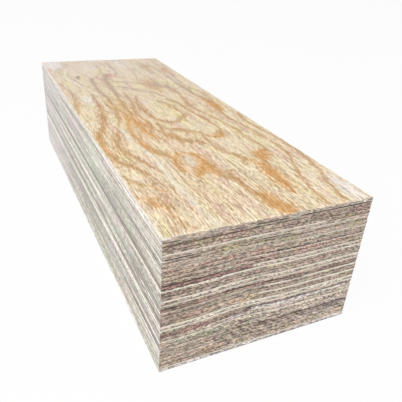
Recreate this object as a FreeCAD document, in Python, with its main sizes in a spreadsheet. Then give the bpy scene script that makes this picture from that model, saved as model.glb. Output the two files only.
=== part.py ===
import FreeCAD, Part
import math
import os
import Sketcher

# Laminated veneer lumber beam, a short length sawn square at both ends.
# Millimetres, +Z up. The grain runs along X. The origin is the middle of the bottom face.
# Rotary-cut veneers lie flat on each other, all with their grain along the beam, glued
# face to face. Looking at the sawn end that faces -X, the beam's left side is +Y.

# Driving sizes: alias, value, what it is.
DRIVING_SIZES = [
    ("beam_length", 267.0, "length between the two sawn ends, along the grain"),
    ("beam_width", 95.0, "width of every veneer"),
    ("thick_veneer", 2.0, "pressed thickness of an ordinary veneer"),
    ("thin_veneer", 1.5, "pressed thickness of a thinly peeled veneer"),
    ("ripple_height", 1.6, "highest rise of a glue line, where the stack buckled in the press"),
    ("ripple_level", 16.0, "height over the bottom face of the glue line that rises most"),
    ("ripple_crest", 36.0, "distance of the ripple's crest from the left side"),
    ("ripple_spread", 24.0, "distance from the ripple's crest to its foot, on each side"),
    ("upper_joint", 13.5, "distance of the edge joint in the fifth veneer from the left side"),
    ("middle_joint", 38.5, "distance of the edge joint in the twelfth veneer from the left side"),
    ("lower_joint", 41.0, "distance of the edge joint in the twenty-fifth veneer from the left side"),
]

# Veneers are counted downwards from the top face.
VENEER_COUNT = 35
THIN_VENEERS = {2, 6, 14, 15, 18, 20, 22, 30, 31, 34}

# Two sheets laid edge to edge fill these layers.
EDGE_JOINTS = {5: "upper_joint", 12: "middle_joint", 25: "lower_joint"}

SKETCH_ORIGIN = (-1, 1)
START, END, CENTRE = 1, 2, 3


def make_sheet(doc):
    """Writes the driving sizes to a spreadsheet, one alias for each."""
    sheet = doc.addObject("Spreadsheet::Sheet", "Sizes")
    for row, (alias, value, meaning) in enumerate(DRIVING_SIZES, start=1):
        sheet.set(f"A{row}", meaning)
        sheet.set(f"B{row}", str(value))
        sheet.setAlias(f"B{row}", alias)
    doc.recompute()
    return sheet


def origin_plane(body, role):
    """Finds one of the body's own origin planes."""
    return next(plane for plane in body.Origin.OriginFeatures if plane.Role == role)


def section_sketch(body, name):
    """Starts a sketch across the beam: its x is the beam's Y, its y is the height."""
    sketch = body.newObject("Sketcher::SketchObject", name)
    sketch.AttachmentSupport = [(origin_plane(body, "YZ_Plane"), "")]
    sketch.MapMode = "FlatFace"
    return sketch


def tie_distance(sketch, direction, geometry, point, formula):
    """Holds a sketch point at a distance from the origin, along or up, by a formula."""
    distance = float(sketch.evalExpression(formula))
    index = sketch.addConstraint(
        Sketcher.Constraint(direction, *SKETCH_ORIGIN, geometry, point, distance)
    )
    sketch.setExpression(f"Constraints[{index}]", formula)


def tie_point(sketch, geometry, point, across, height):
    """Holds a sketch point by its distances from the beam's middle and its bottom face."""
    tie_distance(sketch, "DistanceX", geometry, point, across)
    tie_distance(sketch, "DistanceY", geometry, point, height)


def value_of(sketch, point):
    """Works out a pair of formulas as a sketch point."""
    across, height = point
    return FreeCAD.Vector(
        float(sketch.evalExpression(across)), float(sketch.evalExpression(height)), 0
    )


def stack_height(first, last):
    """Formula for the height of the pressed veneers from first to last."""
    layers = range(first, last + 1)
    thin = sum(layer in THIN_VENEERS for layer in layers)
    thick = len(layers) - thin
    return f"({thick} * Sizes.thick_veneer + {thin} * Sizes.thin_veneer)"


def glue_line(layer):
    """Formulas for the line under a layer: its left end, its ripple's bends, its right end.

    The line under layer 0 is the top face, and the one under the last is the bottom face.
    The rise grows evenly with the depth down to the ripple's level, and dies out from there.
    """
    left = "(Sizes.beam_width / 2)"
    right = "(-Sizes.beam_width / 2)"
    height = stack_height(layer + 1, VENEER_COUNT)
    if layer in (0, VENEER_COUNT):
        return {"left": (left, height), "right": (right, height)}
    crest = f"({left} - Sizes.ripple_crest)"
    deepest = f"({stack_height(1, VENEER_COUNT)} - Sizes.ripple_level)"
    share = f"min({stack_height(1, layer)} / {deepest}; {height} / Sizes.ripple_level)"
    rise = f"(Sizes.ripple_height * {share})"
    radius = f"((Sizes.ripple_spread ^ 2 + {rise} ^ 2) / (4 * {rise}))"
    spread = "Sizes.ripple_spread"
    return {
        "left": (left, height),
        "left_foot": (f"({crest} + {spread})", height),
        "left_hollow": (f"({crest} + {spread})", f"({height} + {radius})"),
        "left_bend": (f"({crest} + {spread} / 2)", f"({height} + {rise} / 2)"),
        "crown": (crest, f"({height} + {rise} - {radius})"),
        "right_bend": (f"({crest} - {spread} / 2)", f"({height} + {rise} / 2)"),
        "right_hollow": (f"({crest} - {spread})", f"({height} + {radius})"),
        "right_foot": (f"({crest} - {spread})", height),
        "right": (right, height),
    }


def add_edge(sketch, start, end):
    """Draws a straight edge between two pairs of formulas, still untied."""
    return sketch.addGeometry(Part.LineSegment(value_of(sketch, start), value_of(sketch, end)))


def add_arc(sketch, centre, start, end):
    """Draws an arc anticlockwise from start to end, still untied."""
    middle, first, last = (value_of(sketch, point) for point in (centre, start, end))
    angles = [math.atan2(point.y - middle.y, point.x - middle.x) for point in (first, last)]
    circle = Part.Circle(middle, FreeCAD.Vector(0, 0, 1), middle.distanceToPoint(first))
    return sketch.addGeometry(Part.ArcOfCircle(circle, *angles))


def draw_line(sketch, line):
    """Draws a glue line and returns its left and right ends, each an edge and its point.

    The ripple is a crown between two hollows, three arcs of one radius. Their centres stand
    straight over the feet and under the crest, so that every arc meets the next smoothly.
    """
    if "crown" not in line:
        edge = add_edge(sketch, line["left"], line["right"])
        tie_point(sketch, edge, START, *line["left"])
        tie_point(sketch, edge, END, *line["right"])
        return (edge, START), (edge, END)
    left = add_edge(sketch, line["left"], line["left_foot"])
    left_arc = add_arc(sketch, line["left_hollow"], line["left_bend"], line["left_foot"])
    crown = add_arc(sketch, line["crown"], line["left_bend"], line["right_bend"])
    right_arc = add_arc(sketch, line["right_hollow"], line["right_foot"], line["right_bend"])
    right = add_edge(sketch, line["right_foot"], line["right"])
    tie_point(sketch, left, START, *line["left"])
    tie_point(sketch, left, END, *line["left_foot"])
    tie_point(sketch, crown, START, *line["left_bend"])
    tie_point(sketch, crown, END, *line["right_bend"])
    tie_point(sketch, right, START, *line["right_foot"])
    tie_point(sketch, right, END, *line["right"])
    tie_distance(sketch, "DistanceX", left_arc, CENTRE, line["left_hollow"][0])
    tie_distance(sketch, "DistanceY", crown, CENTRE, line["crown"][1])
    tie_distance(sketch, "DistanceX", right_arc, CENTRE, line["right_hollow"][0])
    for first, second in (
        ((left, END), (left_arc, END)),
        ((left_arc, START), (crown, START)),
        ((crown, END), (right_arc, END)),
        ((right_arc, START), (right, START)),
    ):
        sketch.addConstraint(Sketcher.Constraint("Coincident", *first, *second))
    return (left, START), (right, END)


def close_side(sketch, above, below):
    """Joins the ends of two glue lines by an upright edge of the veneer."""
    side = sketch.addGeometry(Part.LineSegment(sketch.getPoint(*above), sketch.getPoint(*below)))
    sketch.addConstraint(Sketcher.Constraint("Coincident", side, START, *above))
    sketch.addConstraint(Sketcher.Constraint("Coincident", side, END, *below))


def full_veneer(doc, label, layer):
    """Pads one whole layer along the beam from its two glue lines."""
    body = doc.addObject("PartDesign::Body", label)
    body.Label = label
    section = section_sketch(body, f"{label}_section")
    above = draw_line(section, glue_line(layer - 1))
    below = draw_line(section, glue_line(layer))
    for upper_end, lower_end in zip(above, below):
        close_side(section, upper_end, lower_end)
    pad = body.newObject("PartDesign::Pad", f"{label}_pad")
    pad.Profile = section
    pad.Midplane = True
    pad.setExpression("Length", "Sizes.beam_length")
    section.Visibility = False
    return body


def clip_veneer(body, layer, joint, far_side):
    """Cuts a layer back to the strip on one side of its edge joint."""
    label = body.Label
    clip = section_sketch(body, f"{label}_clip")
    seam = f"(Sizes.beam_width / 2 - Sizes.{joint})"
    beyond = f"({far_side}Sizes.beam_width)"
    top = f"({stack_height(layer, VENEER_COUNT)} + Sizes.ripple_height)"
    bottom = stack_height(layer + 1, VENEER_COUNT)
    corners = [(seam, bottom), (beyond, bottom), (beyond, top), (seam, top)]
    for index, corner in enumerate(corners):
        edge = add_edge(clip, corner, corners[(index + 1) % 4])
        tie_point(clip, edge, START, *corner)
    for index in range(4):
        clip.addConstraint(
            Sketcher.Constraint("Coincident", index, END, (index + 1) % 4, START)
        )
    pocket = body.newObject("PartDesign::Pocket", f"{label}_pocket")
    pocket.Profile = clip
    pocket.Midplane = True
    pocket.Type = "ThroughAll"
    clip.Visibility = False
    return body


def layer_name(layer):
    """The top sheet is the face veneer, the bottom one the back veneer."""
    if layer == 1:
        return "face_veneer"
    if layer == VENEER_COUNT:
        return "back_veneer"
    return f"veneer_{layer:02d}"


def make_layers(doc):
    """Lays up the beam from the top face down."""
    bodies = []
    for layer in range(1, VENEER_COUNT + 1):
        name = layer_name(layer)
        if layer in EDGE_JOINTS:
            joint = EDGE_JOINTS[layer]
            left = full_veneer(doc, f"{name}_left_strip", layer)
            right = full_veneer(doc, f"{name}_right_strip", layer)
            bodies.append(clip_veneer(left, layer, joint, "-"))
            bodies.append(clip_veneer(right, layer, joint, ""))
        else:
            bodies.append(full_veneer(doc, name, layer))
    return bodies


def check_document(doc, bodies):
    """Stops if anything failed to build."""
    for item in doc.Objects:
        if {"Invalid", "Error"} & set(item.State):
            raise RuntimeError(f"{item.Name} failed: {item.State}")
    for body in bodies:
        shape = body.Shape
        if shape.isNull() or not shape.isValid() or len(shape.Solids) != 1:
            raise RuntimeError(f"{body.Label} is not one valid solid")


def main():
    doc = FreeCAD.newDocument("veneer_lumber_beam")
    sheet = make_sheet(doc)
    bodies = make_layers(doc)
    doc.recompute()
    check_document(doc, bodies)
    os.makedirs("parts", exist_ok=True)
    for body in bodies:
        body.Shape.exportStep(f"parts/{body.Label}.step")
    volume = sum(body.Shape.Volume for body in bodies)
    block = sheet.beam_length * sheet.beam_width * sum(
        sheet.thin_veneer if layer in THIN_VENEERS else sheet.thick_veneer
        for layer in range(1, VENEER_COUNT + 1)
    )
    print(f"{len(bodies)} veneers and strips, {volume:.1f} of {block:.1f} mm3 filled")


main()
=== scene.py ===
import bmesh
import bpy
import math
import numpy as np
from mathutils import Euler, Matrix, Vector, noise


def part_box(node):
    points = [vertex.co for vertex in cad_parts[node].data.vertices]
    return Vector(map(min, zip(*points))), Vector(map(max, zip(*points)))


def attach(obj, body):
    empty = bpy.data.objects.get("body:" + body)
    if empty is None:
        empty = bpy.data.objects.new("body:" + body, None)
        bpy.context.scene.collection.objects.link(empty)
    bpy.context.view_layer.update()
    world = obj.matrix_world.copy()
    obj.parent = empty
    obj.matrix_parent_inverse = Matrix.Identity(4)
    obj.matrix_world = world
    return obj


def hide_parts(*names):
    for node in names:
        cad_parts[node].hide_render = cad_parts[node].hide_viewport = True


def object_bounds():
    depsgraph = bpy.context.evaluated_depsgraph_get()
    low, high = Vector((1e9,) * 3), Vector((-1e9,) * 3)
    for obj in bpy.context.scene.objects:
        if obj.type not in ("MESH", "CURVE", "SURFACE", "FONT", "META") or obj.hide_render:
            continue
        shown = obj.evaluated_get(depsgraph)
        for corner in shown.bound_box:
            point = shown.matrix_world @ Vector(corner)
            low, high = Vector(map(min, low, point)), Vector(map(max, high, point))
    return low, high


# %% [markdown]
# # A length of laminated veneer lumber
#
# The beam is a stack of thin wood sheets, all with their grain along the beam. The packed model
# brings each sheet as a plain solid, in metres, with +Z up. The grain runs along X, and the sawn
# end nearest the camera faces -X. Here every sheet gets the look of sawn and knife-cut wood.
# `BEAM_LOW` and `BEAM_HIGH` are kept straight after loading, because nothing may grow past them.

# %% Load the fixed frame
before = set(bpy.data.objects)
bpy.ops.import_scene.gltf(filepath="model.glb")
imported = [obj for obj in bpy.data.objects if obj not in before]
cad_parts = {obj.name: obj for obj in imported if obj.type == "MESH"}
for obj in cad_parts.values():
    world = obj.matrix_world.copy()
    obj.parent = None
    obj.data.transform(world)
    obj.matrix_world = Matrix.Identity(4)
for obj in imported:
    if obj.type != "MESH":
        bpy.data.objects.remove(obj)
BEAM_LOW, BEAM_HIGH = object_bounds()
MM = 0.001
TOUCHING = 0.01 * MM
NEAR_END = BEAM_LOW.x
LEFT_SIDE = BEAM_HIGH.y
TOP_FACE = BEAM_HIGH.z
BEAM_LENGTH = BEAM_HIGH.x - BEAM_LOW.x
print("sheets:", len(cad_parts), "beam:", [round(side, 4) for side in BEAM_HIGH - BEAM_LOW])

# %% [markdown]
# ## Camera
#
# The photograph was taken from close by, a little above the near left corner, with the camera
# tipped sideways by about four degrees. A level camera would make the far end look skewed, so the
# tilt is kept as a roll about the line of sight. The place is given from the near end, the middle
# of the beam and the floor.

# %% Camera at the photograph's viewpoint
CAMERA_BEFORE_END = 123.4 * MM
CAMERA_LEFT = 96.5 * MM
CAMERA_HEIGHT = 153.7 * MM
CAMERA_LENS = 41.72
CAMERA_PITCH = -28.77
CAMERA_HEADING = -26.92
CAMERA_ROLL = 4.0

camera_data = bpy.data.cameras.new("camera")
camera_data.lens = CAMERA_LENS
camera_data.sensor_width = 36
camera_data.clip_start = 0.01
camera = bpy.data.objects.new("camera", camera_data)
bpy.context.scene.collection.objects.link(camera)
camera.location = (NEAR_END - CAMERA_BEFORE_END, CAMERA_LEFT, CAMERA_HEIGHT)
heading = math.radians(CAMERA_HEADING)
pitch = math.radians(CAMERA_PITCH)
sight = Vector(
    (math.cos(heading) * math.cos(pitch), math.sin(heading) * math.cos(pitch), math.sin(pitch))
)
level = sight.to_track_quat("-Z", "Y")
roll = Euler((0, 0, math.radians(CAMERA_ROLL))).to_quaternion()
camera.rotation_mode = "QUATERNION"
camera.rotation_quaternion = level @ roll
bpy.context.scene.camera = camera
bpy.context.scene.view_settings.view_transform = "Standard"
print("camera at", [round(value, 4) for value in camera.location])

# %% [markdown]
# ## Helpers for materials
#
# A wood finish is mostly arithmetic on noise. `Wire` wraps a socket, so that `1 - mask` or
# `band * 0.5` adds the Math nodes by itself, and a finish reads like a recipe.


# %% A socket that Python can reckon with
class Wire:
    """A socket of a finish, with the sums that Python writes done by nodes."""

    def __init__(self, finish, socket):
        self.finish = finish
        self.socket = socket

    def maths(self, operation, *values):
        settings = {"operation": operation}
        return self.finish.node("ShaderNodeMath", settings, dict(enumerate(values)))

    def __add__(self, other):
        return self.maths("ADD", self, other)

    def __sub__(self, other):
        return self.maths("SUBTRACT", self, other)

    def __rsub__(self, other):
        return self.maths("SUBTRACT", other, self)

    def __mul__(self, other):
        return self.maths("MULTIPLY", self, other)

    def __abs__(self):
        return self.maths("ABSOLUTE", self)

    def at_least(self, other):
        return self.maths("MAXIMUM", self, other)

    def ramp(self, low, high, start=0.0, end=1.0):
        """Fades from start to end while the value goes from low to high."""
        values = {0: self, 1: low, 2: high, 3: start, 4: end}
        return self.finish.node("ShaderNodeMapRange", {"interpolation_type": "SMOOTHSTEP"}, values)

    __radd__ = __add__
    __rmul__ = __mul__


print("a wire can:", [name for name in vars(Wire) if not name.startswith("__")])

# %% [markdown]
# `Finish` owns one material and adds any other node from its type, its settings and what goes
# into its sockets. Its noise is stretched to the size of real fibres and moved by each sheet's
# seed, so no two sheets look alike. Colours are written as a paint chart would give them, from 0
# to 255, and turned into the light values that Blender mixes.


# %% One material and its nodes
class Finish:
    """One procedural material under construction."""

    def __init__(self, name, roughness):
        self.material = bpy.data.materials.new(name)
        self.material.use_nodes = True
        self.tree = self.material.node_tree
        self.shader = self.tree.nodes["Principled BSDF"]
        self.shader.inputs["Specular IOR Level"].default_value = 0.25
        self.base_roughness = roughness

    def plug(self, socket, value):
        if isinstance(value, Wire):
            self.tree.links.new(value.socket, socket)
        else:
            socket.default_value = value

    def node(self, kind, settings=None, values=None, output=0):
        made = self.tree.nodes.new(kind)
        for name, setting in (settings or {}).items():
            setattr(made, name, setting)
        for key, value in (values or {}).items():
            self.plug(made.inputs[key], value)
        return Wire(self, made.outputs[output])

    def attribute(self, name, output="Fac"):
        return self.node("ShaderNodeAttribute", {"attribute_name": name}, output=output)

    def noise(self, grain_size, detail=2.0, shift=0.0, turn=0.0):
        """Noise whose blobs measure grain_size in metres along X, Y and Z."""
        place = self.node("ShaderNodeTexCoord", output="Object")
        values = {"Vector": place, "Rotation": (turn, 0, 0), "Scale": grain_size}
        mapped = self.node("ShaderNodeMapping", {"vector_type": "TEXTURE"}, values)
        moved = self.attribute("seed") + shift
        values = {"Vector": mapped, "Scale": 1.0, "Detail": detail, "W": moved}
        return self.node("ShaderNodeTexNoise", {"noise_dimensions": "4D"}, values)

    def shaded(self, colour, shade):
        return self.node(
            "ShaderNodeVectorMath", {"operation": "SCALE"}, {"Vector": colour, "Scale": shade}
        )

    def mix(self, first, second, factor):
        """Goes from the first colour to the second as the factor goes from 0 to 1."""
        values = {0: factor, 6: first, 7: second}
        return self.node("ShaderNodeMix", {"data_type": "RGBA"}, values, output=2)

    def done(self, colour, height, bump_depth, roughness_change):
        """Plugs the colour, the bump and the roughness into the shader."""
        self.plug(self.shader.inputs["Base Color"], colour)
        self.plug(self.shader.inputs["Roughness"], roughness_change + self.base_roughness)
        values = {"Height": height, "Distance": bump_depth, "Strength": 1.0}
        self.plug(self.shader.inputs["Normal"], self.node("ShaderNodeBump", None, values))
        return self.material


def paint(red, green, blue):
    """A colour from a 0 to 255 chart as Blender's linear light."""
    share = [value / 255 for value in (red, green, blue)]
    light = [s / 12.92 if s <= 0.04045 else ((s + 0.055) / 1.055) ** 2.4 for s in share]
    return (*light, 1.0)


print("middle grey paint as light:", round(paint(128, 128, 128)[0], 3))

# %% [markdown]
# ## The sawn end grain
#
# A saw leaves the ends of the fibres open. They drink light, so the end looks darker and browner
# than the same wood seen along its fibres. Three things show: each sheet has its own tone, growth
# layers run as fine lines along the sheet, and tiny pores and knife checks cross it at a slant.
# The glue is a thin dark line where two sheets meet. `height_in_sheet` is painted on the mesh
# later, 0 at a sheet's underside and 1 at its top, so the line follows every ripple of the stack.

# %% End grain finish
GLUE_COLOUR = paint(100, 78, 70)
PALE_RIM_AND_HIGHLIGHT = paint(252, 245, 230)
ROSY = paint(194, 150, 144)
OLIVE = paint(186, 174, 112)
SAGE = paint(164, 182, 156)
# Painted shade inside open slits and arris chips.
SHADOWED_GAP = paint(74, 54, 50)
STROKE_COLOUR = paint(98, 76, 68)
END_BUMP = 0.25 * MM


def glue_mask(finish, width):
    """1 at a sheet's underside, fading out over a share of its thickness."""
    return finish.attribute("height_in_sheet").ramp(width, width * 0.3)


def end_grain():
    """The finish of the two sawn ends."""
    finish = Finish("end_grain", 0.82)
    tone = finish.attribute("tone", "Color")
    tints = finish.noise((0.02, 0.008, 0.0024), 3)
    more_tints = finish.noise((0.02, 0.009, 0.003), 3, shift=5.0)
    drift = finish.noise((0.02, 0.016, 0.002), 2, shift=13.0)
    layers = finish.noise((0.02, 0.005, 0.0004), 2, shift=2.0).ramp(0.3, 0.7)
    pores = finish.noise((0.02, 0.00045, 0.0015), 2, shift=8.0, turn=0.9).ramp(0.35, 0.65)
    streaks = finish.noise((0.02, 0.0007, 0.005), 1, shift=9.0, turn=-0.9).ramp(0.4, 0.6)
    grit = finish.noise((0.0008, 0.0013, 0.00042), 3, shift=11.0).ramp(0.41, 0.59)
    tint_share = finish.attribute("tint", "Alpha") * 1.25
    colour = finish.mix(tone, finish.attribute("tint", "Color"), tint_share)
    slanting = finish.attribute("slanting")
    colour = finish.mix(colour, ROSY, tints.ramp(0.49, 0.68) * (0.4 - slanting * 0.25))
    colour = finish.mix(colour, OLIVE, more_tints.ramp(0.52, 0.7) * 0.35)
    colour = finish.mix(colour, SAGE, tints.ramp(0.47, 0.32) * 0.35)
    lines = layers * (1 - slanting) + streaks * slanting
    relief = lines * 0.22 + pores * 0.26 + grit * 0.52
    shade = relief.ramp(0.06, 0.94, 0.46, 1.54) * drift.ramp(0.3, 0.7, 0.88, 1.12)
    strokes = finish.attribute("strokes")
    colour = finish.mix(colour, STROKE_COLOUR, (strokes + (grit - 0.5) * 0.25).ramp(0.1, 0.7) * 0.75)
    shade = shade * ((streaks - 0.5) * slanting * 0.4 + 1.0) * grit.ramp(0.0, 1.0, 0.82, 1.18)
    colour = finish.shaded(colour, shade)
    broken = finish.noise((0.02, 0.006, 0.002), 3, shift=15.0)
    # Pale rims: pale wood, with painted highlight on torn edges and along the left corner.
    rim_and_highlight = finish.attribute("rim_and_highlight") * broken.ramp(0.25, 0.5, 0.55, 1.25) * grit.ramp(0.0, 0.6, 0.8, 1.0)
    colour = finish.mix(colour, PALE_RIM_AND_HIGHLIGHT, rim_and_highlight)
    glue = glue_mask(finish, 0.26) * broken.ramp(0.68, 0.45, 0.35, 1.0) * (1 - rim_and_highlight * 0.8)
    colour = finish.mix(colour, GLUE_COLOUR, glue)
    # Painted shade inside the open slits, and in the chips of the top arris.
    gap_shade = finish.attribute("gap_shade")
    colour = finish.mix(colour, SHADOWED_GAP, (gap_shade + (grit - 0.6) * 0.5).ramp(0.1, 0.6) * 0.85)
    height = relief - glue * 0.6
    return finish.done(colour, height, END_BUMP, relief * 0.15)


END_GRAIN = end_grain()
print("end grain:", len(END_GRAIN.node_tree.nodes), "nodes")

# %% [markdown]
# ## The sawn sides
#
# On the long sides the saw cut the fibres lengthways. That leaves a paler, greyer face with long
# straight streaks, and the glue lines run the whole length. The tones are the sheets' own, washed
# out towards a chalky grey.

# %% Edge grain finish
CHALK = paint(218, 212, 201)
FADED_CHALK = paint(238, 231, 232)
LAVENDER = paint(212, 188, 200)
PALE_GREEN = paint(190, 210, 184)
EDGE_GLUE = paint(108, 98, 84)
EDGE_RIM_AND_HIGHLIGHT = paint(252, 250, 244)
EDGE_THREAD = paint(148, 138, 122)
EDGE_STAIN = paint(156, 146, 134)
EDGE_BUMP = 0.18 * MM


def edge_grain():
    """The finish of the two long sides."""
    finish = Finish("edge_grain", 0.78)
    tone = finish.attribute("tone", "Color")
    cloud = finish.noise((0.03, 0.02, 0.004), 3)
    streaks = finish.noise((0.15, 0.02, 0.0012), 3, shift=3.0).ramp(0.38, 0.62)
    fibres = finish.noise((0.09, 0.01, 0.0008), 1, shift=7.0).ramp(0.44, 0.56)
    grit = finish.noise((0.0022, 0.01, 0.0007), 3, shift=11.0).ramp(0.4, 0.6)
    faded = finish.attribute("faded")
    colour = finish.mix(tone, CHALK, 0.76)
    colour = finish.mix(colour, FADED_CHALK, faded * 0.6)
    colour = finish.mix(colour, LAVENDER, cloud.ramp(0.52, 0.68) * 0.75)
    colour = finish.mix(colour, PALE_GREEN, cloud.ramp(0.48, 0.34) * 0.7)
    winding = finish.noise((0.2, 0.02, 0.002), 2, shift=23.0)
    dark_thread = abs(winding - 0.46).ramp(0.03, 0.005)
    pale_thread = abs(winding - 0.54).ramp(0.03, 0.005)
    colour = finish.mix(colour, EDGE_THREAD, dark_thread * (0.6 - faded * 0.5))
    colour = finish.mix(colour, EDGE_RIM_AND_HIGHLIGHT, pale_thread * (0.75 - faded * 0.6))
    relief = streaks * 0.2 + fibres * 0.35 + grit * 0.45
    shade = (relief.ramp(0.1, 0.9, 0.53, 1.34) - 0.98) * (1 - faded * 0.5) + 0.98
    side_shade = (finish.attribute("side_shade") - 1.0) * (1 - faded * 0.5) + 1.0
    colour = finish.shaded(colour, shade * side_shade)
    stain = finish.attribute("stain") * streaks.ramp(0.0, 0.8, 0.5, 1.0)
    colour = finish.mix(colour, EDGE_STAIN, stain)
    broken = finish.noise((0.06, 0.02, 0.002), 2, shift=19.0)
    # Pale rims: pale wood, with painted highlight on torn edges and along the left corner.
    rim_and_highlight = finish.attribute("rim_and_highlight") * broken.ramp(0.3, 0.6, 0.4, 1.0)
    colour = finish.mix(colour, EDGE_RIM_AND_HIGHLIGHT, rim_and_highlight)
    glue = glue_mask(finish, 0.34) * broken.ramp(0.65, 0.4, 0.2, 1.0) * (1 - rim_and_highlight * 0.8)
    colour = finish.mix(colour, EDGE_GLUE, glue * (1 - faded * 0.5) * 0.85)
    # Painted shade inside the open slits of the side.
    gap_shade = finish.attribute("gap_shade")
    colour = finish.mix(colour, SHADOWED_GAP, (gap_shade + (grit - 0.5) * 0.4).ramp(0.15, 0.8) * 0.6)
    return finish.done(colour, relief - glue * 0.5, EDGE_BUMP, relief * 0.12)


EDGE_GRAIN = edge_grain()
print("edge grain:", len(EDGE_GRAIN.node_tree.nodes), "nodes")

# %% [markdown]
# ## The knife-cut face
#
# A veneer is peeled from a turning log, so the knife wanders in and out of the growth rings. Each
# ring shows as a wide loop or arch of orange late wood in cream early wood. A repeating texture
# can't draw the figure of one given sheet, so its loops are drawn further down and painted on the
# mesh as `late_wood`. The material then breaks their edges into fibres with stretched noise.

# %% Flat grain finish
EARLY_WOOD = paint(245, 226, 193)
WARM_WOOD = paint(226, 186, 144)
LATE_WOOD = paint(212, 168, 116)
ORANGE_LATE_WOOD = paint(230, 174, 102)
DEEP_LATE_WOOD = paint(200, 138, 78)
FADED_LATE_WOOD = paint(202, 180, 160)
RING_CORE = paint(184, 142, 98)
FADED_CORE = paint(180, 158, 138)
FAR_END_PALE = paint(242, 230, 220)
PINK_WOOD = paint(232, 194, 172)
STRAW = paint(238, 224, 164)
SAP_STREAK_AND_HIGHLIGHT = paint(252, 245, 226)
DARK_FLECK = paint(146, 108, 76)
KNOT_COLOUR = paint(140, 116, 104)
FACE_BUMP = 0.2 * MM
# Faint lines run beside each drawn band, this far apart in mm, and wander by this much.
ECHO_SPACING = 2.3
ECHO_WANDER = 2.2


def flat_grain():
    """The finish of the knife-cut faces."""
    finish = Finish("flat_grain", 0.7)
    late = finish.attribute("late_wood")
    warmth = finish.attribute("warmth")
    pale = finish.attribute("pale_wood_and_highlight")
    knot = finish.attribute("knot")
    faded = finish.attribute("faded")
    fibres = finish.noise((0.0075, 0.0005, 0.003), 3).ramp(0.34, 0.66)
    flecks = finish.noise((0.0022, 0.00036, 0.003), 3, shift=6.0).ramp(0.38, 0.62)
    wander = finish.noise((0.014, 0.004, 0.003), 2, shift=4.0)
    patches = finish.noise((0.012, 0.003, 0.003), 3, shift=9.0).ramp(0.35, 0.65)
    tints = finish.noise((0.02, 0.0045, 0.003), 3, shift=17.0)
    from_band = finish.attribute("ring_distance") + (wander - 0.5) * ECHO_WANDER
    echo = (from_band * (2 * math.pi / ECHO_SPACING)).maths("COSINE").ramp(0.2, 1.0)
    echo = echo * patches * from_band.ramp(0.8, 2.2)
    crisp = finish.attribute("crisp")
    rough = ((fibres - 0.5) * 0.24 + (flecks - 0.5) * 0.14) * crisp
    ragged = late * 1.15 + echo * 0.2 + rough + (patches - 0.5) * 0.24
    colour = finish.mix(EARLY_WOOD, FAR_END_PALE, faded * 0.6)
    colour = finish.mix(colour, PINK_WOOD, tints.ramp(0.5, 0.68) * 0.7)
    colour = finish.mix(colour, STRAW, tints.ramp(0.5, 0.32) * 0.6)
    colour = finish.mix(colour, WARM_WOOD, (warmth + rough * 0.6).ramp(0.0, 0.9) * 0.85)
    tint_share = finish.attribute("tint", "Alpha") + (patches - 0.5) * 0.3
    colour = finish.mix(colour, finish.attribute("tint", "Color"), tint_share.ramp(0.05, 1.0))
    band = finish.mix(LATE_WOOD, ORANGE_LATE_WOOD, warmth.ramp(0.05, 0.6))
    band = finish.mix(band, FADED_LATE_WOOD, faded.ramp(0.0, 0.5))
    colour = finish.mix(colour, band, ragged.ramp(0.03, 0.85) * (0.86 - faded * 0.1))
    core = finish.mix(RING_CORE, DEEP_LATE_WOOD, warmth.ramp(0.1, 0.7))
    core = finish.mix(core, FADED_CORE, faded.ramp(0.0, 0.6))
    colour = finish.mix(colour, core, ragged.ramp(0.6, 1.15) * 0.4)
    # Pale sap streaks, and painted highlight along the face's left and near edges.
    streak_and_highlight = (pale + rough * 2.4 + (patches - 0.5) * 0.7).ramp(0.35, 0.95)
    colour = finish.mix(colour, SAP_STREAK_AND_HIGHLIGHT, streak_and_highlight * pale.ramp(0.05, 0.4) * 0.85)
    crisp = crisp * ragged.ramp(0.3, 1.0, 1.0, 0.55)
    colour = finish.mix(colour, SAP_STREAK_AND_HIGHLIGHT, flecks.ramp(0.35, 0.0) * 0.45 * crisp)
    speck = flecks.ramp(0.65, 1.0) * fibres.ramp(0.3, 0.7)
    colour = finish.mix(colour, DARK_FLECK, speck * 0.3 * crisp)
    colour = finish.mix(colour, KNOT_COLOUR, (knot + rough * 0.8).ramp(0.1, 1.0) * 0.8)
    relief = fibres * 0.55 + flecks * 0.45
    colour = finish.shaded(colour, (relief - 0.5) * crisp * -0.4 + 0.985)
    return finish.done(colour, ragged * 0.5 - relief, FACE_BUMP, relief * 0.2 - ragged * 0.05)


SAWN_ACROSS, SAWN_ALONG, KNIFE_CUT = 0, 1, 2
FINISHES = [END_GRAIN, EDGE_GRAIN, flat_grain()]
print("finishes:", [material.name for material in FINISHES])

# %% [markdown]
# ## The tone of each sheet
#
# Sheets come from many logs, and from sapwood and heartwood, so pale and brown sheets alternate
# with no rule. The tones are read from the photograph's sawn end, from the top sheet down.

# %% Sheet tones from the top down
TONES = {
    "cream": paint(226, 213, 198),
    "pale": paint(211, 196, 181),
    "sand": paint(196, 178, 163),
    "tan": paint(183, 164, 150),
    "brown": paint(169, 148, 136),
    "plum": paint(146, 119, 114),
    "ash": paint(218, 208, 205),
}
STACK = (
    "tan brown tan tan tan brown tan sand tan tan "
    "tan plum sand tan sand pale tan brown tan tan "
    "sand sand cream sand plum pale pale sand sand tan "
    "sand sand sand sand ash"
).split()
RIGHT_STRIP_TONES = {"veneer_12_right_strip": "pale", "veneer_25_right_strip": "ash"}
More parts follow.
